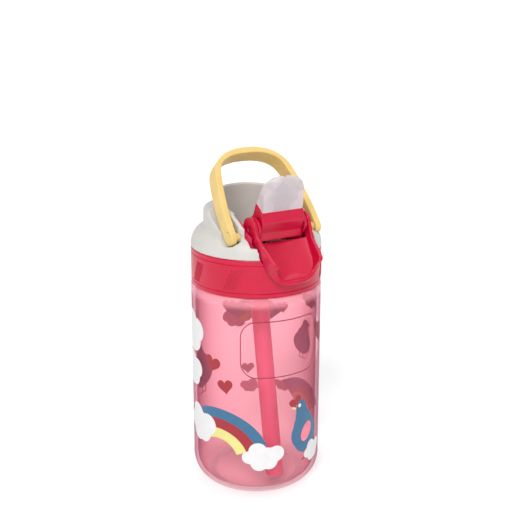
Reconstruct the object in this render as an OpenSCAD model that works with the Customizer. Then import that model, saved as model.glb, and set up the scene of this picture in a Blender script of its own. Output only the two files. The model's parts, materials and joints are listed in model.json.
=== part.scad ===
// Drinking bottle for a child: a clear bottle with a screw lid, a fold-away spout under a
// swinging cover, a straw and a carrying handle. Millimetres. +Z is up, the spout faces -Y,
// and the origin is the centre of the standing face. The cover is open and the spout is up.

/* [Bottle] */
// Outside diameter of the bottle and of the lid collar
bottle_d = 73; // [72:0.5:75]
// Height of the clear part below the collar
bottle_h = 117; // [110:1:135]
// Wall thickness of the bottle
wall = 2.2; // [1.8:0.1:2.6]
// Depth of the pressed grip panel
grip_depth = 1.2; // [0.6:0.1:1.6]
// Height of the middle of the grip panel
grip_mid_z = 88.4; // [80:1:95]
// Direction of the grip panel, degrees from the front
grip_turn = -6; // [-10:1:10]

/* [Screw thread] */
// Height of the threaded neck
neck_h = 9.4; // [9:0.2:10]
// Rise of the thread in one turn
thread_pitch = 4; // [3.6:0.1:4.2]
// Number of turns of thread
thread_turns = 1.25; // [1:0.25:1.5]

/* [Lid] */
// Height of the screw collar
collar_h = 21; // [20:1:23]
// Height of the grey top above the collar, at the back of the hood
hood_h = 30; // [28:0.5:31]
// Outside radius of the hood
hood_r = 23.6; // [23.4:0.1:23.8]
// Wall thickness of the hood
hood_wall = 2.4; // [2:0.1:2.8]

/* [Spout and cover] */
// Distance of the spout hinge in front of the bottle's axis
hinge_y = 22; // [21.5:0.1:22.5]
// Height of the spout hinge above the top of the collar
hinge_up = 14.8; // [14.5:0.1:15.2]
// Length of the cover from its hinge to its tip
cover_len = 33.4; // [32.6:0.1:34]
// Outside width of the cover at its hinge
cover_w = 35; // [34.6:0.1:35.4]
// Angle of the open cover below the horizontal
cover_open = 47.5; // [46:0.5:48]
// Height of the mouthpiece's tip above the spout hinge
mouth_up = 27.9; // [26:0.1:29]

/* [Handle] */
// Outside width of the handle at its pivots
handle_w = 56.6; // [56.4:0.1:57.2]
// Length of the handle from its pivots to the outside of its arch
handle_len = 51; // [49:0.1:52]
// Thickness of the handle's band
band_t = 3.7; // [3.4:0.1:3.9]
// Backward tilt of the handle from upright
handle_tilt = 41; // [0:1:48]

/* [Straw] */
// Outside diameter of the straw
straw_d = 10; // [8:0.5:10]
// Slant of the straw from upright
straw_slant = 9.8; // [8:0.1:10]

/* [Hidden] */
$fn = 96;
eps = 0.01;
gap = 0.3;            // working gap between pieces that move past each other
run_fit = 0.07;       // radial clearance of a hinge pin
crimson = "#d22d4b";
pale_grey = "#d7d5d0";
straw_yellow = "#eed082";
clear_pink = "#ffaab480";
milky = "#dfd6d8b0";
pin_grey = "#b9b4ae";

body_r = bottle_d / 2;
inner_r = body_r - wall;
floor_z = 3;                          // top of the bottle's floor
foot_r = 27.2;                        // radius of the standing face
corner_h = 13.2;                      // height of the rounded bottom corner
neck_r = body_r - 3.9;                // outside of the neck, below the thread
neck_bore_r = neck_r - 2.4;
neck_top = bottle_h + neck_h;
thread_crest = 1.1;                   // how far the thread stands out of the neck
collar_bore_r = body_r - 2.2;
collar_z = bottle_h + gap;
collar_top = bottle_h + collar_h;
plate_z = neck_top + 0.8;             // underside of the inner lid
plate_t = 2;
plate_top = plate_z + plate_t;
duct_top = plate_top + 7.2;
frame_z = duct_top + 0.2;             // underside of the spout frame
frame_t = 2;

hinge_z = collar_top + hinge_up;
drum_r = 7.5;                         // barrel of the spout carrier
carrier_half = 13;                    // half width of the carrier
cheek_in = carrier_half + 0.4;
cheek_out = cheek_in + 1.8;
arm_in = cheek_out + 0.4;             // inside of the cover's arms
arm_out = cover_w / 2;
spout_pin_r = 1.4;
mouth_y = 6.3;                        // how far the mouthpiece's tip is in front of the hinge
port_y = 18.9;                        // port in front of the bottle's axis
port_r = 1.5;
port_seal_r = 4;
skirt_t = 2.2;                        // wall of the top's skirt inside the collar

hood_in = 20.2;                       // half width of the hood's cavity
hood_side = 22.6;                     // half width of the hood's flat sides
cavity_z = collar_top + 6;            // floor of the hood's cavity
rim_r = 122;                          // the hood's rim lies on this large arc
rim_y = 37.4;
rim_z = collar_top + hood_h - 121.2;
ledge_r = 29.1;
ledge_z = collar_top + 21.8;

pivot_y = 18.5;                       // handle pivot in front of the bottle's axis
pivot_z = collar_top + 10.5;
foot_half = 4;                        // half width of the handle's band at its foot
arch_half = 4.8;                      // half width of the band at the arch
handle_pin_r = 2.5;
pin_head_r = 3.2;
handle_in = handle_w / 2 - band_t;    // inside of the handle at its pivots

straw_r = straw_d / 2;
straw_root_z = neck_top - 0.4;        // the straw's centre line meets the bottle's axis here
straw_top = 8.3;                      // along the straw, from that point to its two ends
straw_end = 122.5;
socket_r = 9;
socket_z = bottle_h - 4;
nozzle_r = 6;
nozzle_bore_r = 3.5;

function arc(cx, cy, r, from, to, n = 12) =
    [for (i = [0 : n]) let (a = from + (to - from) * i / n) [cx + r * cos(a), cy + r * sin(a)]];
function oval_arc(cx, cy, rx, ry, from, to, n = 12) =
    [for (i = [0 : n]) let (a = from + (to - from) * i / n) [cx + rx * cos(a), cy + ry * sin(a)]];

// Extrudes a [y, z] outline from x0 to x1
module along_x(x0, x1) {
    translate([x0, 0, 0]) rotate([90, 0, 90]) linear_extrude(x1 - x0) children();
}

// A round bar along X, centred on [y, z]
module bar_x(x0, x1, y, z, r) {
    translate([x0, y, z]) rotate([0, 90, 0]) cylinder(h = x1 - x0, r = r);
}

module both_sides() {
    children();
    mirror([1, 0, 0]) children();
}

module rounded_rect(w, h, r) {
    square([w, h - 2 * r], center = true);
    square([w - 2 * r, h], center = true);
    for (sx = [-1, 1], sy = [-1, 1])
        translate([sx * (w / 2 - r), sy * (h / 2 - r)]) circle(r);
}

// One helical rib. Its section runs from root_r to tip_r, and it thins towards the tip.
module helix_rib(root_r, tip_r, z0, root_w, tip_w, turns, start = 0) {
    steps = round(turns * 24);
    rings = [for (i = [0 : steps])
        let (a = start + 360 * turns * i / steps, z = z0 + thread_pitch * turns * i / steps)
        for (p = [[root_r, -root_w / 2], [tip_r, -tip_w / 2], [tip_r, tip_w / 2], [root_r, root_w / 2]])
            [p[0] * cos(a), p[0] * sin(a), z + p[1]]];
    sides = [for (i = [0 : steps - 1], k = [0 : 3])
        let (a = 4 * i + k, b = 4 * i + (k + 1) % 4)
        each (tip_r < root_r ? [[a, b + 4, b], [a, a + 4, b + 4]] : [[a, b, b + 4], [a, b + 4, a + 4]])];
    e = 4 * steps;
    ends = tip_r < root_r ? [[0, 1, 2, 3], [e + 3, e + 2, e + 1, e]]
                          : [[3, 2, 1, 0], [e, e + 1, e + 2, e + 3]];
    polyhedron(points = rings, faces = concat(sides, ends), convexity = 6);
}

// ---------------------------------------------------------------- bottle

module grip_panel(r0, r1, shrink) {
    rotate([0, 0, grip_turn]) intersection() {
        difference() {
            cylinder(h = bottle_h, r = r1);
            translate([0, 0, -eps]) cylinder(h = bottle_h + 2 * eps, r = r0);
        }
        translate([0, 0, grip_mid_z]) rotate([90, 0, 0]) linear_extrude(body_r + 5)
            rounded_rect(48.6 - shrink, 32 - shrink, 9);
    }
}

module bottle_body() {
    color(clear_pink) union() {
        difference() {
            rotate_extrude($fn = 180) polygon(concat(
                [[0, 1.4], [foot_r - 5.5, 1.4], [foot_r - 4, 0]],
                oval_arc(foot_r, corner_h, body_r - foot_r, corner_h, -90, 0, 14),
                arc(body_r - 1, bottle_h - 1, 1, 0, 90, 4),
                [[neck_r, bottle_h]],
                arc(neck_r - 0.6, neck_top - 0.6, 0.6, 0, 90, 4),
                arc(neck_bore_r + 0.6, neck_top - 0.6, 0.6, 90, 180, 4),
                [[neck_bore_r, bottle_h - 0.5], [inner_r, bottle_h - 4.6]],
                oval_arc(28.4, floor_z + 10.4, inner_r - 28.4, 10.4, 0, -90, 12),
                [[0, floor_z]]));
            grip_panel(body_r - grip_depth, body_r + 1, 0);
        }
        grip_panel(inner_r - grip_depth + 0.1, inner_r + 0.4, 2.4);
        helix_rib(neck_r - 0.5, neck_r + thread_crest, bottle_h + 2.4, 2.2, 0.9, thread_turns);
    }
}

// ---------------------------------------------------------------- lid

// The cover is drawn closed: it points to +Y from its hinge, with its inside facing down
cover_floor_out = 6.7;                // outside of the cover's floor above its hinge line
cover_bend = 32;                      // radius of the trough across the cover's floor
nest_half = cover_w / 2 + 0.7;        // half width of the place the open cover lies in
nest_tip = nest_half - 1.7;           // the same, where the cover has narrowed

module opened() { translate([0, -hinge_y, hinge_z]) rotate([180 + cover_open, 0, 0]) children(); }

// A trough-shaped solid over the cover's floor, grown outwards
module cover_trough(grow, from, to) {
    translate([0, from, cover_floor_out - cover_bend]) rotate([-90, 0, 0])
        cylinder(h = to - from, r = cover_bend + grow, $fn = 180);
}

// The space that the open cover takes out of the collar, frame and top
module cover_nest() {
    opened() intersection() {
        translate([0, 0, -60]) linear_extrude(80)
            polygon([[-nest_half, 0], [nest_half, 0], [nest_half, 4], [nest_tip, 19], [nest_tip, 60],
                     [-nest_tip, 60], [-nest_tip, 19], [-nest_half, 4]]);
        cover_trough(0.5, 8, 60);
    }
}

// Plan of the spout frame's seat in the top. It narrows in front of the hood.
module seat_plan(inset) {
    wide = hood_in - inset;
    narrow = nest_tip - 0.3 - inset;
    polygon([[-wide, -10.2 - inset], [wide, -10.2 - inset], [wide, -24.5], [narrow, -30.5], [narrow, -60],
             [-narrow, -60], [-narrow, -30.5], [-wide, -24.5]]);
}

// Slanting ribs on the collar where fingers turn it
module collar_hatch(middle) {
    for (i = [-2 : 2]) rotate([0, 0, middle + i * 2.2])
        translate([0, -body_r + 0.6, bottle_h + 9.8]) rotate([0, 24, 0])
            cube([0.5, 1.8, 12], center = true);
}

module lid_collar() {
    color(crimson) union() {
        difference() {
            rotate_extrude($fn = 180) polygon(concat(
                [[collar_bore_r, collar_z + 0.6], [collar_bore_r + 0.6, collar_z], [body_r - 0.8, collar_z],
                 [body_r - 0.3, collar_z + 0.6], [body_r - 0.3, collar_z + 2.2], [body_r - 0.6, collar_z + 2.5],
                 [body_r - 0.3, collar_z + 2.8]],
                [[body_r - 0.3, collar_top - 3.3], [body_r - 0.6, collar_top - 3], [body_r - 0.3, collar_top - 2.7]],
                arc(body_r - 1.1, collar_top - 0.8, 0.8, 0, 90, 4),
                [[collar_bore_r, collar_top]]));
            cover_nest();
        }
        intersection() {
            union() for (a = [-51, 51, 180 - 89, 180 + 89]) collar_hatch(a);
            difference() {
                cylinder(h = collar_top - 1, r = body_r);
                translate([0, 0, -1]) cylinder(h = collar_top + 2, r = collar_bore_r + 0.5);
            }
        }
        helix_rib(collar_bore_r + 0.4, neck_r + 0.55, bottle_h + 0.4 + thread_pitch * 1.1, 1.9, 0.8, 1);
    }
}

module lid_gasket() {
    color(milky) rotate_extrude() translate([neck_bore_r + 0.2, neck_top + 0.02])
        square([neck_r - neck_bore_r - 0.4, plate_z - neck_top - 0.04]);
}

module inner_lid() {
    vent_y = 16;
    color(pale_grey) difference() {
        union() {
            translate([0, 0, plate_z]) cylinder(h = plate_t, r = collar_bore_r - 0.02);
            translate([0, 0, plate_z - 5.4]) cylinder(h = 5.4 + eps, r = neck_bore_r - 0.35);
        }
        // hollow inside the plug, around the nozzle
        translate([0, 0, plate_z - 6]) difference() {
            cylinder(h = 6 - eps, r = neck_bore_r - 2.3);
            translate([0, 0, -1]) cylinder(h = 9, r = nozzle_r);
        }
        translate([0, 0, plate_z - 20]) cylinder(h = 40, r = nozzle_bore_r);
        translate([0, vent_y, plate_z - 8]) cylinder(h = 20, r = 1.5);
        cover_nest();
    }
    color(pale_grey) difference() {
        translate([0, 0, socket_z + 7]) cylinder(h = plate_z - 5.4 - socket_z - 7, r = nozzle_r);
        translate([0, 0, socket_z]) cylinder(h = 20, r = nozzle_bore_r);
    }
}

module vent_valve() {
    vent_y = 16;
    color(milky) translate([0, vent_y, plate_z]) {
        translate([0, 0, -0.9]) cylinder(h = 0.88, r1 = 3.4, r2 = 4.2);
        translate([0, 0, -0.5]) cylinder(h = plate_t + 1.2, r = 1.48);
        translate([0, 0, plate_t + 0.02]) cylinder(h = 1.1, r = 2.4);
    }
}

// Straw with its middle line through the bottle's axis, leaning towards the front
module on_straw() {
    translate([0, 0, straw_root_z]) rotate([-straw_slant, 0, 0]) children();
}

module straw() {
    color(crimson) on_straw() difference() {
        translate([0, 0, -straw_end]) cylinder(h = straw_end - straw_top, r = straw_r);
        translate([0, 0, -straw_end - 1]) cylinder(h = straw_end + 2, r = straw_r - 1.1);
    }
}

module straw_socket() {
    top = plate_z - 6.4;
    color(crimson) difference() {
        rotate_extrude() polygon([[0, socket_z], [socket_r - 0.8, socket_z], [socket_r, socket_z + 0.8],
                                  [socket_r, socket_z + 2.4], [socket_r - 1.2, socket_z + 3.2],
                                  [socket_r - 1.2, top], [0, top]]);
        on_straw() translate([0, 0, -30]) cylinder(h = 30 - straw_top, r = straw_r);
        on_straw() translate([0, 0, -30]) cylinder(h = 30, r = straw_r - 1.1);
        translate([0, 0, socket_z + 7]) cylinder(h = 20, r = nozzle_r);
    }
}

// Covered channel from the nozzle on the axis to the port under the spout
module flow_duct() {
    mid_z = plate_top + 3.6;
    duct_half = 4.95;
    color(pale_grey) difference() {
        union() {
            translate([-duct_half, -port_y, plate_top]) cube([2 * duct_half, port_y, duct_top - plate_top]);
            translate([0, 0, plate_top]) cylinder(h = duct_top - plate_top, r = 5.6);
            translate([0, -port_y, plate_top]) cylinder(h = duct_top - plate_top, r = duct_half);
        }
        translate([0, 0, plate_top - 1]) cylinder(h = mid_z - plate_top + 1, r = nozzle_bore_r);
        translate([0, 0, mid_z]) rotate([90, 0, 0]) cylinder(h = port_y, r = port_r);
        translate([0, -port_y, mid_z]) cylinder(h = 20, r = port_r);
        translate([0, -port_y, duct_top - 0.8]) cylinder(h = 5, r = 4.4);
    }
}

module duct_seal() {
    color(milky) translate([0, -port_y, duct_top - 0.78]) difference() {
        cylinder(h = frame_z - duct_top + 0.76, r = 4.35);
        translate([0, 0, -1]) cylinder(h = 4, r = port_r);
    }
}

// Silicone pad that the carrier's barrel turns against
module port_seal() {
    color(milky) difference() {
        translate([0, -port_y, frame_z]) cylinder(h = hinge_z - 5.75 - frame_z, r = port_seal_r);
        translate([0, -port_y, frame_z - 1]) cylinder(h = 30, r = port_r);
        bar_x(-20, 20, -hinge_y, hinge_z, drum_r + 0.12);
        opened() cover_trough(0.3, 5, 60);
    }
}

// The rim of the hood, as a solid below one large arc
module below_rim(grow = 0) {
    intersection() {
        bar_x(-60, 60, rim_y, rim_z, rim_r + grow);
        translate([-60, -60, 0]) cube([120, 120, 200]);
    }
}

module spout_frame() {
    wing_in = cover_w / 2 + 0.8;
    color(crimson) difference() {
        intersection() {
            translate([0, 0, plate_top]) linear_extrude(60) seat_plan(0.1);
            union() {
                // floor
                translate([-hood_in + 0.1, -26, frame_z]) cube([2 * hood_in - 0.2, 15.5, frame_t]);
                // side wings that follow the hood's rim
                intersection() {
                    both_sides() translate([wing_in, -33.5, frame_z])
                        cube([hood_in - 0.1 - wing_in, 20, 30]);
                    below_rim(-1.2);
                    union() {
                        cylinder(h = collar_top + 0.04, r = collar_bore_r - 0.02);
                        translate([0, 0, collar_top + 0.02]) cylinder(h = 60, r = body_r - 1.6);
                    }
                }
                // rear posts beside the carrier
                both_sides() translate([wing_in, -14.2, frame_z])
                    cube([hood_in - 0.1 - wing_in, 3.7, 17.6]);
                // cheeks that hold the hinge pins
                both_sides() along_x(cheek_in, cheek_out) {
                    translate([-hinge_y, hinge_z]) circle(6.1);
                    polygon([[-hinge_y + 7.5, frame_z + 1], [-hinge_y - 2.6, frame_z + 1],
                             [-hinge_y - 1.2, hinge_z - 7.5], [-hinge_y - 3.4, hinge_z - 4],
                             [-hinge_y + 5, hinge_z - 2.4]]);
                }
                // apron behind the open cover
                intersection() {
                    opened() difference() {
                        translate([-nest_half - 0.8, 8, -4]) cube([2 * nest_half + 1.6, 23, 14]);
                        cover_trough(0.4, 0, 60);
                    }
                    opened() cover_trough(2, 0, 60);
                    translate([0, 0, plate_top + 0.02]) union() {
                        cylinder(h = 40, r = collar_bore_r - skirt_t - 0.02);
                        cylinder(h = collar_top - 6.02 - plate_top - 0.04, r = collar_bore_r - 0.02);
                    }
                }
                // collar around the port seal
                translate([0, -port_y, frame_z]) cylinder(h = 4.6, r = 6.2);
            }
        }
        translate([0, -port_y, frame_z - 1]) cylinder(h = 30, r = port_seal_r + 0.02);
        bar_x(-cheek_in, cheek_in, -hinge_y, hinge_z, drum_r + 0.6);
        bar_x(-40, 40, -hinge_y, hinge_z, spout_pin_r);
        cover_nest();
    }
}

module spout_pin(side) {
    color(pin_grey) scale([side, 1, 1])
        bar_x(10.6, arm_out - 0.9, -hinge_y, hinge_z, spout_pin_r);
}
module spout_pin_left() { spout_pin(-1); }
module spout_pin_right() { spout_pin(1); }

// Handle pockets, cut into the dome beside the hood
module handle_pocket() {
    back = handle_back_stop;
    room = foot_half + 0.6;
    along_x(hood_side, body_r + 5) {
        translate([-pivot_y, pivot_z]) circle(room);
        polygon([[-pivot_y - room, pivot_z], [-pivot_y - room, pivot_z + 60], [60, pivot_z + 60],
                 [60, pivot_z + (60 + pivot_y) * tan(back) - room / cos(back)],
                 [-pivot_y + room * sin(back), pivot_z - room * cos(back)]]);
    }
}
handle_back_stop = 38;                // the folded handle's angle above horizontal

module lid_top() {
    dome_top = collar_top + 10.9;
    dome_mid = body_r - 8.2;
    dome = oval_arc(dome_mid, collar_top + 0.3, 8, dome_top - collar_top - 0.3, 0, 90, 16);
    color(pale_grey) difference() {
        intersection() {
            union() {
                // dome from the collar to the foot of the hood
                rotate_extrude($fn = 180) polygon(concat(
                    [[0, collar_top + 0.02], [body_r - 0.2, collar_top + 0.02]], dome, [[0, dome_top]]));
                // hood: round at the back, flat at the sides
                intersection() {
                    union() {
                        translate([0, 0, collar_top]) cylinder(h = 40, r = hood_r, $fn = 180);
                        translate([-hood_side, -34, collar_top]) cube([2 * hood_side, 34, 40]);
                    }
                    translate([-hood_side, -40, collar_top - 1]) cube([2 * hood_side, 80, 60]);
                }
                // ledge behind the hood
                intersection() {
                    rotate_extrude($fn = 180) polygon(concat(
                        [[0, dome_top - 2], [ledge_r + 0.6, dome_top - 0.5]],
                        arc(ledge_r + 1, dome_top + 1, 1, 225, 180, 3),
                        arc(ledge_r - 2.6, ledge_z - 2.6, 2.6, 0, 84, 6),
                        [[hood_r - 1, ledge_z + 0.8], [0, ledge_z + 0.8]]));
                    translate([-40, -pivot_y, 0]) cube([80, 80, 200]);
                }
                // skirt that snaps into the collar
                translate([0, 0, collar_top - 6]) cylinder(h = 7, r = collar_bore_r - 0.02);
            }
            below_rim();
            // the flat sides of the hood end on the dome
            rotate_extrude($fn = 180) polygon(concat(
                [[0, collar_top - 7], [body_r - 0.15, collar_top - 7]],
                oval_arc(dome_mid, collar_top + 0.3, 8.05, dome_top - collar_top - 0.25, 0, 76, 13),
                [[ledge_r + 0.3, collar_top + 40], [0, collar_top + 40]]));
        }
        // underside hollow, with a space up into the ledge behind the hood
        translate([0, 0, collar_top - 7]) cylinder(h = 10, r = collar_bore_r - skirt_t);
        intersection() {
            rotate_extrude() polygon([[hood_r + 1.2, collar_top + 2], [body_r - 5.5, collar_top + 2],
                                      [body_r - 5.5, collar_top + 4], [ledge_r - 2, collar_top + 8.4],
                                      [ledge_r - 2, ledge_z - 2.6], [hood_r + 1.2, ledge_z - 2.6]]);
            translate([-40, 6, 0]) cube([80, 60, 200]);
        }
        // cavity of the hood
        intersection() {
            union() {
                cylinder(h = 300, r = hood_r - hood_wall, $fn = 180);
                translate([-hood_in, -60, 0]) cube([2 * hood_in, 50, 300]);
            }
            translate([-hood_in, -60, cavity_z]) cube([2 * hood_in, 120, 100]);
        }
        // seat of the spout frame, open to the underside
        translate([0, 0, frame_z - 1]) linear_extrude(100) seat_plan(0);
        both_sides() handle_pocket();
        bar_x(-40, 40, -pivot_y, pivot_z, handle_pin_r);
        cover_nest();
    }
}

// ---------------------------------------------------------------- spout

module at_hinge() { translate([0, -hinge_y, hinge_z]) children(); }

module spout_carrier() {
    // side outline about the hinge: slanted seat for the mouthpiece, front band and barrel
    front = [[0.8, 13.2], [-5.2, 8.9], [-6.3, 3.2], [-4.1, -2.3], [-4.1, -6.2], [0, -6.6],
             [7.2, 1.5], [3.9, 6]];
    color(crimson) at_hinge() difference() {
        union() {
            along_x(-carrier_half, carrier_half) {
                polygon(front);
                intersection() {
                    circle(drum_r);
                    translate([-4.1, -20]) square([40, 40]);
                }
            }
            // nib inside the mouthpiece
            rotate([12.7, 0, 0]) translate([0, -0.3, 8]) {
                translate([-6, -1.9, 0]) cube([12, 3.8, 8.4]);
            }
        }
        // way from the port up to the nib
        rotate([12.7, 0, 0]) cylinder(h = 30, r = 1.2);
        rotate([asin((hinge_y - port_y) / drum_r) - 180, 0, 0]) translate([0, 0, -1.6])
            cylinder(h = 20, r = port_r);
        for (side = [-1, 1]) scale([side, 1, 1]) bar_x(10.4, 20, 0, 0, spout_pin_r + run_fit);
    }
}

// Outline of the mouthpiece from the front, about the hinge: straight sides and a round top
function mouth_front(half, top, n = 14) = concat([[half, 0], [half, top - 10.5]],
    [for (i = [1 : n - 1]) let (a = 90 * i / n)
        [half * pow(cos(a), 0.7), top - 10.5 + 10.5 * pow(sin(a), 0.86)]],
    [[0, top]],
    [for (i = [1 : n - 1]) let (a = 90 * (n - i) / n)
        [-half * pow(cos(a), 0.7), top - 10.5 + 10.5 * pow(sin(a), 0.86)]],
    [[-half, top - 10.5], [-half, 0]]);

module mouth_solid(half, top, side) {
    intersection() {
        rotate([90, 0, 0]) translate([0, 0, -30]) linear_extrude(60) polygon(mouth_front(half, top));
        along_x(-20, 20) polygon(side);
    }
}

module mouthpiece() {
    skin = 1.6;
    outside = [[0.8, 13.24], [-5.2, 8.94], [-5.7, 13], [-6.6, 20], [-7.4, 25.4], [-7.4, 27],
               [-mouth_y - 0.2, mouth_up], [-5.6, 27.2], [-4.3, 23.6], [-2, 18]];
    inside = [[-0.4, 10], [-4.2, 8], [-4.3, 13], [-5.1, 20], [-5.7, 24.4], [-5.4, 24.4], [-4.2, 20.5],
              [-2, 15.6]];
    color(milky) at_hinge() difference() {
        mouth_solid(carrier_half - 0.6, mouth_up, outside);
        mouth_solid(carrier_half - 0.6 - skin, mouth_up - skin, inside);
        // drinking hole
        translate([0, -5.6, 20]) rotate([6, 0, 0]) cylinder(h = 12, r = 0.9);
        // seat over the nib
        rotate([12.7, 0, 0]) translate([-6.02, -2.22, 8]) cube([12.04, 3.84, 8.42]);
    }
}

rim_drop = 3.6;                       // edge of the side walls below the hinge line

// Outline seen from above: it narrows towards the round tip
module cover_plan(half, tip) {
    polygon(concat([[-half, -8], [half, -8], [half, 4]],
        [for (i = [0 : 16]) let (a = 90 * i / 16)
            [(half - 1.7) * pow(cos(a), 0.75), tip - 13 + 13 * pow(sin(a), 0.9)]],
        [for (i = [15 : -1 : 0]) let (a = 90 * i / 16)
            [-(half - 1.7) * pow(cos(a), 0.75), tip - 13 + 13 * pow(sin(a), 0.9)]],
        [[-half, 4]]));
}

// The cover's solid: its plan, below the trough moved in by the floor's thickness where it is hollow
module cover_bulk(half, tip, inward) {
    intersection() {
        translate([0, 0, -20]) linear_extrude(40) cover_plan(half, tip);
        cover_trough(-inward, -10, 50);
    }
}

module spout_cover() {
    // side outline in [along, up]: arm round the hinge, straight wall, then down to the tip's lip
    side = concat([[3, cover_floor_out]],
        oval_arc(cover_len - 4, 3.6, 4, cover_floor_out - 3.6, 90, 0, 8), [[cover_len, 3]],
        arc(cover_len - 0.4, -3.2, 6.2, 90, 164, 6),
        arc(cover_len - 8.6, -rim_drop - 0.2, 1.9, -10, -120, 5),
        [[12, -rim_drop + 0.4], [3, -rim_drop - 1]]);
    floor_t = 2;
    color(crimson) opened() difference() {
        union() {
            intersection() {
                along_x(-arm_out, arm_out) polygon(side);
                cover_bulk(arm_out, cover_len, 0);
            }
            both_sides() along_x(arm_in, arm_out) {
                circle(6.3);
                polygon([[0, 6.3], [3, 5.6], [7.6, 1.8], [7.6, -3.6], [4, -4.9]]);
            }
        }
        // inside of the tray
        intersection() {
            cover_bulk(arm_in, cover_len - 1.8, floor_t);
            along_x(-arm_in, arm_in) polygon(concat(
                [[-20, -20], [-20, 20], [cover_len - 12, 20]],
                oval_arc(cover_len - 12, 2, 10.6, 3.2, 90, 0, 8), [[cover_len - 1.4, -20]]));
        }
        // room for the carrier between the arms
        bar_x(-arm_in, arm_in, 0, 0, 8.6);
        translate([-arm_in, -12, -12]) cube([2 * arm_in, 16, 30]);
        bar_x(-30, 30, 0, 0, spout_pin_r + run_fit);
    }
}

// ---------------------------------------------------------------- handle

// Outline of half the bail in its own plane, [x, along]: a leg that curves inwards, then the arch
function bail_half(foot, top) =
    let (lean = 4.1, shoulder = 36, slope = 2 * lean / shoulder, s = foot - lean)
    concat([[foot, -8]],
        [for (i = [0 : 9]) let (f = i / 9) [foot - lean * f * f, shoulder * f]],
        curve([s, shoulder], [s - 8 * slope, shoulder + 8], [0.62 * s, top], [0, top], 14));
function bail(foot, top) = let (h = bail_half(foot, top), n = len(h))
    concat(h, [for (i = [n - 2 : -1 : 0]) [-h[i][0], h[i][1]]]);
// Points along a cubic curve, without its first point
function curve(a, b, c, d, n) = [for (i = [1 : n]) let (t = i / n, u = 1 - t)
    u * u * u * a + 3 * u * u * t * b + 3 * u * t * t * c + t * t * t * d];

module handle() {
    half = handle_w / 2;
    color(straw_yellow) translate([0, -pivot_y, pivot_z]) rotate([-handle_tilt, 0, 0]) difference() {
        intersection() {
            rotate([90, 0, 0]) translate([0, 0, -10]) linear_extrude(20) difference() {
                polygon(bail(half, handle_len));
                polygon(bail(half - band_t, handle_len - band_t));
            }
            along_x(-half - 1, half + 1) {
                circle(foot_half);
                polygon([[-foot_half, 0], [foot_half, 0], [foot_half, 6], [arch_half, 34], [arch_half, 60],
                         [-arch_half, 60], [-arch_half, 34], [-foot_half, 6]]);
            }
        }
        bar_x(-half - 2, half + 2, 0, 0, handle_pin_r + run_fit);
        for (side = [-1, 1]) scale([side, 1, 1]) bar_x(half - 1.5, half + 2, 0, 0, pin_head_r + run_fit);
    }
}

module handle_pin(side) {
    half = handle_w / 2;
    color(straw_yellow) scale([side, 1, 1]) {
        bar_x(hood_in + 0.4, half - 1.2, -pivot_y, pivot_z, handle_pin_r);
        bar_x(half - 1.4, half - 0.1, -pivot_y, pivot_z, pin_head_r);
    }
}
module handle_pin_left() { handle_pin(-1); }
module handle_pin_right() { handle_pin(1); }

bottle_body();
lid_gasket();
lid_collar();
inner_lid();
lid_top();
flow_duct();
duct_seal();
straw_socket();
straw();
vent_valve();
port_seal();
spout_frame();
spout_pin_left();
spout_pin_right();
spout_carrier();
mouthpiece();
spout_cover();
handle();
handle_pin_left();
handle_pin_right();
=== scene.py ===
import bpy, bmesh, json, math
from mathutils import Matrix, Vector


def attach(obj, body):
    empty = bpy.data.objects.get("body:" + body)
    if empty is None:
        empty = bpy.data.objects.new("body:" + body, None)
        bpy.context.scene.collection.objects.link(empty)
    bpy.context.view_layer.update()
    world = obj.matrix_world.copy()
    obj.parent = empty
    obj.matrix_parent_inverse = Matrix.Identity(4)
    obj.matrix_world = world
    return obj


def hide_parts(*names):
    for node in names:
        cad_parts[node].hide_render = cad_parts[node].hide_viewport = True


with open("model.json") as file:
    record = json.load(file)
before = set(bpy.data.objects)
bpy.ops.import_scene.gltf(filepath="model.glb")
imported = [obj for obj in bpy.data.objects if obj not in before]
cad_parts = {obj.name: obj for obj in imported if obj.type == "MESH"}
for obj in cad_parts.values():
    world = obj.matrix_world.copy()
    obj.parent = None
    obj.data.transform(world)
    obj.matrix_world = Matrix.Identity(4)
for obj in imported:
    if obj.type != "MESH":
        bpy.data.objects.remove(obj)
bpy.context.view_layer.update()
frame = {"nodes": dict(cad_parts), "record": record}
NODES = frame["nodes"]
BODY_OF = {n: b for b, ns in frame["record"]["behaviour"]["bodies"].items() for n in ns}
SLOT_OF = {s["node"]: s["material_slot"] for s in frame["record"]["subparts"]}
MM = 0.001
FINE = 1.0   # voxel size factor
WHITE = (1, 1, 1, 1)

scene = bpy.context.scene
scene.view_settings.view_transform = "Standard"


# ------------------------------------------------------------------ camera and light

def add(obj):
    scene.collection.objects.link(obj)
    return obj


cam = add(bpy.data.objects.new("camera", bpy.data.cameras.new("camera")))
cam.location = (-0.2483, -0.4132, 0.2696)
cam.rotation_euler = (math.radians(73.89), 0, math.radians(-31))
cam.data.sensor_width = 36
cam.data.lens = 63.28
cam.data.clip_start = 0.01
cam.data.clip_end = 400   # beyond the edge of the floor
scene.camera = cam


def soft_sun(name, place, spread, strength):
    """A very soft lamp from far away, shining from place towards the bottle."""
    data = bpy.data.lights.new(name, "SUN")
    data.energy, data.angle = strength, math.radians(spread)
    lamp = add(bpy.data.objects.new(name, data))
    lamp.location = place
    lamp.rotation_euler = (-Vector(place)).to_track_quat("-Z", "Y").to_euler()


soft_sun("key", (-0.9, -0.9, 1.1), 24, 1.7)
soft_sun("top", (0.25, 0.1, 1.4), 60, 0.9)
soft_sun("front", (-0.35, -1.0, 0.32), 20, 0.35)

world = bpy.data.worlds.new("studio")
world.use_nodes = True
world.node_tree.nodes["Background"].inputs["Color"].default_value = WHITE
world.node_tree.nodes["Background"].inputs["Strength"].default_value = 0.58
scene.world = world


# ------------------------------------------------------------------ materials

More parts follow.
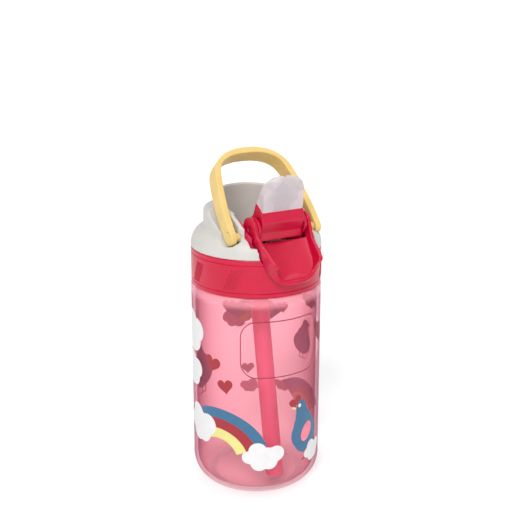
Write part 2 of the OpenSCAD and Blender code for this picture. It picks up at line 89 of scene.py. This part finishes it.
def srgb(r, g, b):
    def lin(v):
        v /= 255
        return v / 12.92 if v <= 0.04045 else ((v + 0.055) / 1.055) ** 2.4
    return (lin(r), lin(g), lin(b), 1)


class Tree:
    """A small helper round a material's nodes."""

    def __init__(self, name):
        self.mat = bpy.data.materials.new(name)
        self.mat.use_nodes = True
        self.nt = self.mat.node_tree
        self.nt.nodes.clear()
        self.out = self.node("ShaderNodeOutputMaterial")

    def node(self, kind, **values):
        n = self.nt.nodes.new(kind)
        for key, v in values.items():
            if key in n.inputs:
                n.inputs[key].default_value = v
            else:
                setattr(n, key, v)
        return n

    def link(self, a, b):
        self.nt.links.new(a, b)

    def place(self):
        return self.node("ShaderNodeTexCoord").outputs["Object"]

    def noise(self, scale, detail=3.0):
        n = self.node("ShaderNodeTexNoise", Scale=scale, Detail=detail)
        self.link(self.place(), n.inputs["Vector"])
        return n.outputs["Fac"]

    def ranged(self, value, low, high, from_low=0.35, from_high=0.65):
        m = self.node("ShaderNodeMapRange")
        m.inputs["From Min"].default_value = from_low
        m.inputs["From Max"].default_value = from_high
        m.inputs["To Min"].default_value = low
        m.inputs["To Max"].default_value = high
        self.link(value, m.inputs["Value"])
        return m.outputs["Result"]

    def height(self):
        sep = self.node("ShaderNodeSeparateXYZ")
        self.link(self.place(), sep.inputs[0])
        return sep.outputs["Z"]

    def mix(self, factor, a, b):
        m = self.node("ShaderNodeMix", data_type="RGBA")
        for sock, v in ((m.inputs[6], a), (m.inputs[7], b)):
            if isinstance(v, tuple):
                sock.default_value = v
            else:
                self.link(v, sock)
        self.link(factor, m.inputs[0])
        return m.outputs[2]

    def bump(self, height, distance):
        b = self.node("ShaderNodeBump", Distance=distance, Strength=1.0)
        self.link(height, b.inputs["Height"])
        return b.outputs["Normal"]


def moulded(name, colour, deep, rough, grain=0.000006, subsurface=0.0, coat=0.0, scale=90):
    """Moulded plastic: slow colour drift, uneven gloss and a fine grain."""
    t = Tree(name)
    p = t.node("ShaderNodeBsdfPrincipled")
    p.inputs["Specular IOR Level"].default_value = 0.35
    drift = t.noise(scale, 2)
    t.link(t.mix(t.ranged(drift, 0, 1), deep, colour), p.inputs["Base Color"])
    t.link(t.ranged(t.noise(700, 4), rough - 0.05, rough + 0.06), p.inputs["Roughness"])
    t.link(t.bump(t.noise(2600, 3), grain), p.inputs["Normal"])
    if subsurface:
        p.inputs["Subsurface Weight"].default_value = subsurface
        p.inputs["Subsurface Radius"].default_value = (1.0, 0.5, 0.4)
        p.inputs["Subsurface Scale"].default_value = 0.003
    p.inputs["Coat Weight"].default_value = coat
    p.inputs["Coat Roughness"].default_value = 0.12
    t.link(p.outputs[0], t.out.inputs[0])
    return t.mat


def see_through(name, face_on, edge_on, dull, rough=0.06, power=2.2, share=None, band=None, refraction_patches=None):
    """Clear tinted plastic: light passes straight through, the tint deepens from face_on to
    edge_on as the wall is seen slantwise, and the surface shines. Either share is how much of
    the plastic's own dull colour shows, the same all over, or it grows towards the outline
    and over band = (from z, to z, how much more). The last argument, (scale, colour), paints
    patches of another shade: painted refraction, standing for light bent inside the material."""
    t = Tree(name)
    angle = t.node("ShaderNodeLayerWeight", Blend=0.5)

    def raised(exponent):
        n = t.node("ShaderNodeMath", operation="POWER")
        n.inputs[1].default_value = exponent
        t.link(angle.outputs["Facing"], n.inputs[0])
        return n.outputs[0]

    clear = t.node("ShaderNodeBsdfTransparent")
    slant = raised(power)
    if band:
        # the bottle's floor is always seen slantwise; the slantwise tint is weaker towards the bottom, from
        # 7.5 mm down to 3.2 mm, a painted light that keeps the floor bright
        fade = t.node("ShaderNodeMath", operation="MULTIPLY")
        t.link(slant, fade.inputs[0])
        t.link(t.ranged(t.height(), 0.15, 1, 0.0032, 0.0075), fade.inputs[1])
        slant = fade.outputs[0]
    tint = t.mix(slant, face_on, edge_on)
    # light that falls through the wall is left white, so that the inside stays bright
    path = t.node("ShaderNodeLightPath")
    falling = t.node("ShaderNodeMath", operation="ADD", use_clamp=True)
    t.link(path.outputs["Is Shadow Ray"], falling.inputs[0])
    t.link(path.outputs["Is Diffuse Ray"], falling.inputs[1])
    t.link(t.mix(falling.outputs[0], tint, WHITE), clear.inputs["Color"])
    body = t.node("ShaderNodeBsdfPrincipled")
    if refraction_patches:
        # painted patches of another shade, standing for the light that the hollow inside bends
        cells = t.node("ShaderNodeTexVoronoi", Scale=refraction_patches[0])
        t.link(t.place(), cells.inputs["Vector"])
        part = t.node("ShaderNodeSeparateColor")
        t.link(cells.outputs["Color"], part.inputs[0])
        t.link(t.mix(t.ranged(part.outputs[0], 0, 1, 0.1, 0.9), dull, refraction_patches[1]), body.inputs["Base Color"])
    else:
        body.inputs["Base Color"].default_value = dull
    body.inputs["Coat Weight"].default_value = 0.3
    t.link(t.ranged(t.noise(220, 3), rough - 0.02, rough + 0.04), body.inputs["Roughness"])
    t.link(t.bump(t.noise(60, 2), 0.00004), body.inputs["Normal"])
    mix = t.node("ShaderNodeMixShader")
    if band:
        # more of the plastic's own colour where the wall is thick, near the shoulder
        amount = t.node("ShaderNodeMath", operation="ADD", use_clamp=True)
        t.link(t.ranged(raised(5.0), 0.03, 0.3, 0, 1), amount.inputs[0])
        t.link(t.ranged(t.height(), 0, band[2], band[0], band[1]), amount.inputs[1])
        t.link(amount.outputs[0], mix.inputs[0])
    else:
        mix.inputs[0].default_value = share
    t.link(clear.outputs[0], mix.inputs[1])
    t.link(body.outputs[0], mix.inputs[2])
    t.link(mix.outputs[0], t.out.inputs[0])
    return t.mat


CRIMSON = moulded("crimson_plastic", srgb(194, 8, 56), srgb(186, 6, 51), 0.34, coat=0.12)
GREY = moulded("pale_grey_plastic", srgb(197, 194, 190), srgb(192, 189, 185), 0.42, subsurface=0.1)
YELLOW = moulded("yellow_plastic", srgb(222, 192, 120), srgb(216, 185, 112), 0.42, subsurface=0.12)
PIN_RED = moulded("pin_plastic", srgb(150, 34, 56), srgb(132, 30, 48), 0.5)
STRAW = moulded("straw_plastic", srgb(226, 112, 138), srgb(220, 104, 130), 0.4, subsurface=0.2)
PRINT_WHITE = moulded("print_white", srgb(220, 219, 219), srgb(216, 215, 216), 0.45, scale=300)
PRINT_RED = moulded("print_red", srgb(158, 45, 54), srgb(154, 43, 52), 0.45, scale=300)
PRINT_BLUE = moulded("print_blue", srgb(58, 106, 140), srgb(56, 103, 137), 0.45, scale=300)
PRINT_PINK = moulded("print_pink", srgb(240, 130, 150), srgb(232, 122, 142), 0.45, scale=300)
PRINT_YELLOW = moulded("print_yellow", srgb(218, 210, 134), srgb(215, 206, 129), 0.45, scale=300)
# the backs of the prints, seen from inside the bottle
BACKS = {m.name: moulded(m.name + "_back", srgb(*c), srgb(*[v - 5 for v in c]), 0.6, scale=300) for m, c in (
    (PRINT_WHITE, (214, 172, 184)), (PRINT_RED, (196, 146, 156)), (PRINT_BLUE, (182, 142, 166)),
    (PRINT_YELLOW, (215, 165, 150)), (PRINT_PINK, (220, 160, 172)))}
CLEAR_PINK = see_through("clear_pink", (1.0, 0.80, 0.835, 1), (0.5, 0.22, 0.31, 1),
                         srgb(255, 165, 180), band=(0.1105, 0.1135, 0.34))
# a painted dark line in the clear wall, standing for the light that the grip panel's edge bends
PANEL_REFRACTION_LINE = see_through("panel_refraction_line", (0.62, 0.34, 0.42, 1), (0.5, 0.25, 0.33, 1), srgb(190, 90, 112),
                         power=2, share=0.35)
# the silicone's patches of a darker shade are painted refraction
MILKY = see_through("milky_silicone", (0.93, 0.9, 0.91, 1), (0.8, 0.76, 0.78, 1), srgb(226, 216, 220),
                    rough=0.25, power=1.6, share=0.6, refraction_patches=(150, srgb(206, 198, 203)))
BY_SLOT = {"clear_body": CLEAR_PINK, "crimson": CRIMSON, "pale_grey": GREY, "yellow": YELLOW,
           "milky": MILKY, "pin_grey": PIN_RED}


def paint(obj, mat):
    if not obj.material_slots:
        obj.data.materials.append(mat)
    for s in obj.material_slots:
        s.material = mat


for node, obj in NODES.items():
    paint(obj, BY_SLOT[SLOT_OF[node]])
paint(NODES["straw"], STRAW)


# ------------------------------------------------------------------ pieces made from CAD nodes

def piece(name, mesh, mat, body, smooth=True):
    obj = add(bpy.data.objects.new(name, mesh))
    obj.data.materials.clear()
    obj.data.materials.append(mat)
    for p in mesh.polygons:
        p.use_smooth = smooth
    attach(obj, body)
    return obj


def applied(obj):
    """The object's mesh with its modifiers, as plain geometry."""
    return bpy.data.meshes.new_from_object(obj.evaluated_get(bpy.context.evaluated_depsgraph_get()))


def softened(node, name, voxel, rounds):
    """The CAD node's shape with moulded, rounded edges."""
    src = NODES[node]
    temp = add(bpy.data.objects.new("temp", src.data.copy()))
    bm = bmesh.new()
    bm.from_mesh(temp.data)
    bm.transform(src.matrix_world)
    bmesh.ops.remove_doubles(bm, verts=bm.verts, dist=1e-6)
    bm.to_mesh(temp.data)
    bm.free()
    re = temp.modifiers.new("remesh", "REMESH")
    re.mode, re.voxel_size = "VOXEL", voxel * MM * FINE
    sm = temp.modifiers.new("smooth", "SMOOTH")
    sm.factor, sm.iterations = 0.5, rounds
    mesh = applied(temp)
    bpy.data.objects.remove(temp)
    obj = piece(name, mesh, BY_SLOT[SLOT_OF[node]], BODY_OF[node])
    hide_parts(node)


softened("handle", "handle_band", 0.35, 4)
softened("spout_cover", "cover_shell", 0.35, 5)
softened("spout_carrier", "carrier_block", 0.35, 5)
softened("spout_frame", "lid_frame", 0.35, 4)
softened("lid_top", "lid_dome", 0.45, 4)


# ------------------------------------------------------------------ the clear bottle

BODY_R, WALL, BODY_H = 36.4, 2.2, 117.0
NECK_R, NECK_TOP, NECK_BORE = 32.6, 126.4, 30.2
# the grip panel: azimuth and height of its middle, its size, corner radius and depth
PANEL_TURN, PANEL_MID, PANEL_W, PANEL_H, PANEL_R, PANEL_D = -6.0, 88.4, 53.6, 32.5, 10.0, 1.5
PANEL_REACH, FINE_STEP, COARSE_STEPS = 50, 0.65, 120   # degrees each side, degrees, rest of the round


def smooth01(v):
    v = max(0.0, min(1.0, v))
    return v * v * (3 - 2 * v)


def panel_depth(azimuth, z, shrink):
    """How far the grip panel presses the wall in at this place."""
    a = math.radians(azimuth - PANEL_TURN)
    if abs(a) > 1.2:
        return 0
    x = BODY_R * math.sin(a)
    dx = abs(x) - (PANEL_W / 2 - PANEL_R)
    dz = abs(z - PANEL_MID) - (PANEL_H / 2 - PANEL_R)
    d = math.hypot(max(dx, 0), max(dz, 0)) + min(max(dx, dz), 0) - PANEL_R
    return PANEL_D * smooth01((-d - shrink) / 1.0)


def arc(cx, cy, rx, ry, a0, a1, n):
    return [(cx + rx * math.cos(math.radians(a0 + (a1 - a0) * i / n)),
             cy + ry * math.sin(math.radians(a0 + (a1 - a0) * i / n))) for i in range(n + 1)]


def revolve(rings, azimuths, shape):
    """A closed mesh from [r, z] rings in millimetres; the first and last rings are capped."""
    bm = bmesh.new()
    loops = []
    segments = len(azimuths)
    for k, (r, z) in enumerate(rings):
        loop = []
        for az in azimuths:
            rr = r - shape(k, az, z)
            a = math.radians(az)
            loop.append(bm.verts.new((rr * math.sin(a) * MM, -rr * math.cos(a) * MM, z * MM)))
        loops.append(loop)
    for a, b in zip(loops, loops[1:]):
        for i in range(segments):
            j = (i + 1) % segments
            bm.faces.new((a[i], a[j], b[j], b[i]))
    bm.faces.new(loops[0][::-1])
    bm.faces.new(loops[-1])
    return bm


def helix(bm, r_root, r_tip, z0, w_root, w_tip, turns, pitch):
    steps = int(turns * 60)
    rows = []
    for i in range(steps + 1):
        a = 2 * math.pi * turns * i / steps
        z = z0 + pitch * turns * i / steps
        fade = min(1, i / 6, (steps - i) / 6)
        tip = r_root + (r_tip - r_root) * (0.15 + 0.85 * fade)
        rows.append([bm.verts.new((r * math.cos(a) * MM, r * math.sin(a) * MM, (z + h) * MM)) for r, h in
                     ((r_root, -w_root / 2), (tip, -w_tip / 2), (tip, w_tip / 2), (r_root, w_root / 2))])
    for a, b in zip(rows, rows[1:]):
        for k in range(4):
            m = (k + 1) % 4
            bm.faces.new((a[k], b[k], b[m], a[m]))
    bm.faces.new(rows[0])
    bm.faces.new(rows[-1][::-1])


def clear_bottle():
    outer = [(21.7, 1.4), (22.3, 1.1), (23.2, 0.1), (23.6, 0.0)]
    outer += arc(27.2, 13.2, 9.3, 13.2, -90, 0, 18)
    outer += [(BODY_R, z) for z in [16, 20, 26, 32, 38, 44, 50, 56, 62, 67]]
    outer += [(BODY_R, 69 + 0.4 * i) for i in range(98)]
    outer += [(BODY_R, z) for z in [109, 110.5, 112.5, 114.5]]
    outer += arc(BODY_R - 1, BODY_H - 1, 1, 1, 0, 90, 5)
    outer += [(NECK_R + 0.5, BODY_H), (NECK_R + 0.1, BODY_H + 0.3), (NECK_R, BODY_H + 1)]
    outer += arc(NECK_R - 0.6, NECK_TOP - 0.6, 0.6, 0.6, 0, 90, 4)
    inner = arc(NECK_BORE + 0.6, NECK_TOP - 0.6, 0.6, 0.6, 90, 180, 4)
    inner += [(NECK_BORE, 117.5), (NECK_BORE + 0.2, 116.2), (33.6, 113.2), (34.2, 112.0)]
    inner += [(BODY_R - WALL, z) for z in [111, 110, 109]]
    inner += [(BODY_R - WALL, 108 - 0.4 * i) for i in range(98)]
    inner += [(BODY_R - WALL, z) for z in [67, 62, 56, 50, 44, 38, 32, 26, 20]]
    inner += arc(28.4, 13.4, 5.9, 10.4, 0, -90, 14)
    inner += [(20, 3.0), (8, 3.0)]
    n_out = len(outer)

    def shape(k, az, z):
        r = (outer + inner)[k][0]
        if r < BODY_R - WALL - 0.01:
            return 0
        return panel_depth(az, z, 0 if k < n_out else 1.2)

    fine = [PANEL_TURN - PANEL_REACH + FINE_STEP * i for i in range(int(2 * PANEL_REACH / FINE_STEP) + 2)]
    rest = 360 - (fine[-1] - fine[0])
    azimuths = fine + [fine[-1] + rest * i / COARSE_STEPS for i in range(1, COARSE_STEPS)]
    bm = revolve(outer + inner, [a if a <= 180 else a - 360 for a in azimuths], shape)
    helix(bm, NECK_R - 0.5, NECK_R + 1.1, BODY_H + 2.4, 2.2, 0.9, 1.25, 4)
    bmesh.ops.recalc_face_normals(bm, faces=bm.faces)
    mesh = bpy.data.meshes.new("clear_bottle")
    bm.to_mesh(mesh)
    bm.free()
    obj = piece("clear_bottle", mesh, CLEAR_PINK, "bottle")
    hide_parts("bottle_body")


clear_bottle()


# ------------------------------------------------------------------ printed decoration
# Every print is a thin closed sheet on the bottle's wall, 0.04 mm proud of it. Outlines are
# in millimetres round the bottle, [along, up], about a centre [azimuth, height].

PRINT_OUT, PRINT_IN = BODY_R + 0.04, BODY_R - 0.02
OVER = 0.04   # lift of a print that lies over another


def blob(circles, n=72):
    """The outline round a group of overlapping circles [x, y, r], seen from their middle."""
    cx = sum(c[0] * c[2] for c in circles) / sum(c[2] for c in circles)
    cy = sum(c[1] * c[2] for c in circles) / sum(c[2] for c in circles)
    pts = []
    for i in range(n):
        a = 2 * math.pi * i / n
        dx, dy = math.cos(a), math.sin(a)
        best = 0
        for x, y, r in circles:
            px, py = x - cx, y - cy
            b = px * dx + py * dy
            disc = b * b - (px * px + py * py - r * r)
            if disc > 0:
                best = max(best, b + math.sqrt(disc))
        pts.append((cx + best * dx, cy + best * dy))
    return pts


def heart(size, n=40):
    pts = []
    for i in range(n):
        t = 2 * math.pi * i / n
        pts.append((size * 16 * math.sin(t) ** 3 / 32,
                    size * (13 * math.cos(t) - 5 * math.cos(2 * t) - 2 * math.cos(3 * t)
                            - math.cos(4 * t)) / 32))
    return pts


def bow(r0, r1, a0, a1, n=24):
    return arc(0, 0, r1, r1, a0, a1, n) + arc(0, 0, r0, r0, a1, a0, n)


def oval(cx, cy, rx, ry, tilt=0, n=28):
    c, s = math.cos(math.radians(tilt)), math.sin(math.radians(tilt))
    return [(cx + rx * math.cos(a) * c - ry * math.sin(a) * s,
             cy + rx * math.cos(a) * s + ry * math.sin(a) * c)
            for a in (2 * math.pi * i / n for i in range(n))]


def decal(name, azimuth, z, outlines, mat, lift=0.0, flip=False, turn=0.0):
    """Closed thin sheets on the bottle's wall. lift puts one print over another."""
    bm = bmesh.new()
    c, s = math.cos(math.radians(turn)), math.sin(math.radians(turn))
    for outline in outlines:
        pts = [((-x if flip else x), y) for x, y in outline]
        pts = [(x * c - y * s, x * s + y * c) for x, y in pts]
        bm.faces.new([bm.verts.new((x, y, 0)) for x, y in pts])
    bmesh.ops.remove_doubles(bm, verts=bm.verts[:], dist=1e-4)
    bmesh.ops.triangulate(bm, faces=bm.faces[:])
    for k in range(-20, 21):
        bmesh.ops.bisect_plane(bm, geom=bm.verts[:] + bm.edges[:] + bm.faces[:], dist=1e-5,
                               plane_co=(1.5 * k + 0.01, 0, 0), plane_no=(1, 0, 0))
    for f in bm.faces:
        if f.normal.z < 0:
            f.normal_flip()
    bm.verts.index_update()
    flat = [v.co.copy() for v in bm.verts]
    faces = [[v.index for v in f.verts] for f in bm.faces]
    rim = [(e.link_loops[0].vert.index, e.link_loops[0].link_loop_next.vert.index)
           for e in bm.edges if e.is_boundary]
    bm.free()
    n = len(flat)
    verts = []
    for r in (PRINT_OUT + lift, PRINT_IN + lift):
        for p in flat:
            a = math.radians(azimuth) + p.x / BODY_R
            verts.append((r * math.sin(a) * MM, -r * math.cos(a) * MM, (z + p.y) * MM))
    sheets = faces + [[v + n for v in reversed(f)] for f in faces] + [(b, a, a + n, b + n) for a, b in rim]
    mesh = bpy.data.meshes.new(name)
    mesh.from_pydata(verts, [], sheets)
    piece(name, mesh, mat, "bottle", smooth=False)
    if mat.name in BACKS:
        mesh.materials.append(BACKS[mat.name])
        for p in mesh.polygons[len(faces):2 * len(faces)]:
            p.material_index = 1


def cloud(name, azimuth, z, w, h):
    circles = [(-0.36 * w, -0.03 * h, 0.22 * h), (-0.14 * w, 0.2 * h, 0.3 * h),
               (0.31 * w, 0.08 * h, 0.28 * h), (-0.1 * w, -0.2 * h, 0.3 * h),
               (0.14 * w, -0.18 * h, 0.28 * h), (0.1 * w, 0.05 * h, 0.28 * h)]
    decal(name, azimuth, z, [blob(circles)], PRINT_WHITE, lift=OVER)


def rainbow(name, azimuth, z, r, start, end):
    for k, mat in enumerate((PRINT_BLUE, PRINT_RED, PRINT_YELLOW)):
        band = bow(r * (0.8 - 0.2 * k), r * (1 - 0.2 * k) - 0.05, start, end)
        decal(f"{name}_{k}", azimuth, z, [band], mat)


def bird(name, azimuth, z, size, flip=False):
    """A plain standing bird, size millimetres from its feet to the top of its head."""
    s = size
    body = blob([(0.02 * s, -0.08 * s, 0.25 * s), (0.0, 0.06 * s, 0.19 * s), (-0.03 * s, 0.2 * s, 0.13 * s),
                 (-0.06 * s, 0.34 * s, 0.1 * s), (0.06 * s, -0.14 * s, 0.25 * s)], 96)
    decal(name + "_body", azimuth, z, [body], PRINT_BLUE, flip=flip)
    decal(name + "_wing", azimuth, z, [oval(0.06 * s, -0.08 * s, 0.15 * s, 0.1 * s, 60)], PRINT_PINK,
          lift=OVER, flip=flip)
    beak = [(-0.145 * s, 0.38 * s), (-0.235 * s, 0.35 * s), (-0.15 * s, 0.31 * s)]
    decal(name + "_beak", azimuth, z, [beak], PRINT_YELLOW, flip=flip)
    decal(name + "_eye", azimuth, z, [oval(-0.09 * s, 0.36 * s, 0.028 * s, 0.028 * s)], PRINT_WHITE,
          lift=OVER, flip=flip)
    legs = [[(x * s, -0.34 * s), ((x + 0.025) * s, -0.34 * s), ((x + 0.02) * s, -0.5 * s),
             ((x - 0.06) * s, -0.5 * s), ((x - 0.06) * s, -0.48 * s), (x * s, -0.475 * s)]
            for x in (0.02, 0.12)]
    decal(name + "_legs", azimuth, z, legs, PRINT_RED, flip=flip)


def rounded(w, h, r, n=8):
    pts = []
    for cx, cy, a0 in ((w / 2 - r, h / 2 - r, 0), (r - w / 2, h / 2 - r, 90), (r - w / 2, r - h / 2, 180),
                       (w / 2 - r, r - h / 2, 270)):
        pts += arc(cx, cy, r, r, a0, a0 + 90, n)
    return pts


# the painted dark line that stands for where the grip panel's edge bends the light: its outside size, corner
# radius and width
LINE_W, LINE_H, LINE_R, LINE_WIDE = 49.2, 32.6, 9.3, 0.6
line_out = rounded(LINE_W, LINE_H, LINE_R)
line_in = rounded(LINE_W - 2 * LINE_WIDE, LINE_H - 2 * LINE_WIDE, LINE_R - LINE_WIDE)
strip = [[line_out[k - 1], line_out[k], line_in[k], line_in[k - 1]] for k in range(len(line_out))]
decal("panel_refraction_line", PANEL_TURN, PANEL_MID, strip, PANEL_REFRACTION_LINE)
cloud("cloud_a", -102, 91, 17, 24)
cloud("cloud_b", -103, 68.5, 17, 20)
cloud("cloud_c", -90, 38, 24, 22)
rainbow("rainbow_a", -66, 22, 30, start=20, end=118)
cloud("cloud_d", -24.5, 25.5, 23, 17)
bird("bird_a", 16, 38, 40)
cloud("cloud_e", 31, 21, 17, 13)
for k, (az, z, size, turn) in enumerate(((6, 55, 8.5, 20), (-72, 77.5, 11, -12), (-58.5, 66, 9.5, 10),
                                         (157, 48, 8, 0), (176, 90, 9, 10), (123, 89, 8, -10))):
    decal(f"heart_{k}", az, z, [heart(size)], PRINT_RED, turn=turn)
bird("bird_b", -147, 57, 35, flip=True)
rainbow("rainbow_b", 150, 72, 22, start=40, end=140)
cloud("cloud_f", 168, 82, 18, 13)
bird("bird_c", 97, 73, 27)
cloud("cloud_g", 89, 98, 14, 9)
cloud("cloud_h", 155, 36, 12, 9)
cloud("cloud_i", 122, 38, 12, 8)
rainbow("rainbow_c", 98, 22, 24, start=50, end=140)
cloud("cloud_j", 70, 84, 12, 12)


# ------------------------------------------------------------------ floor

FLOOR_R = 150   # metres, so that no edge shows in the picture
floor_mat = Tree("floor_white")
fp = floor_mat.node("ShaderNodeBsdfPrincipled")
drift = floor_mat.ranged(floor_mat.noise(6, 2), 0, 1)
floor_mat.link(floor_mat.mix(drift, srgb(249, 249, 249), srgb(252, 252, 252)), fp.inputs["Base Color"])
fp.inputs["Roughness"].default_value = 0.7
fp.inputs["Specular IOR Level"].default_value = 0.1
floor_mat.link(fp.outputs[0], floor_mat.out.inputs[0])
bm = bmesh.new()
bmesh.ops.create_circle(bm, cap_ends=True, segments=96, radius=FLOOR_R)
floor_mesh = bpy.data.meshes.new("floor")
bm.to_mesh(floor_mesh)
bm.free()
floor_mesh.materials.append(floor_mat.mat)
floor = add(bpy.data.objects.new("floor", floor_mesh))
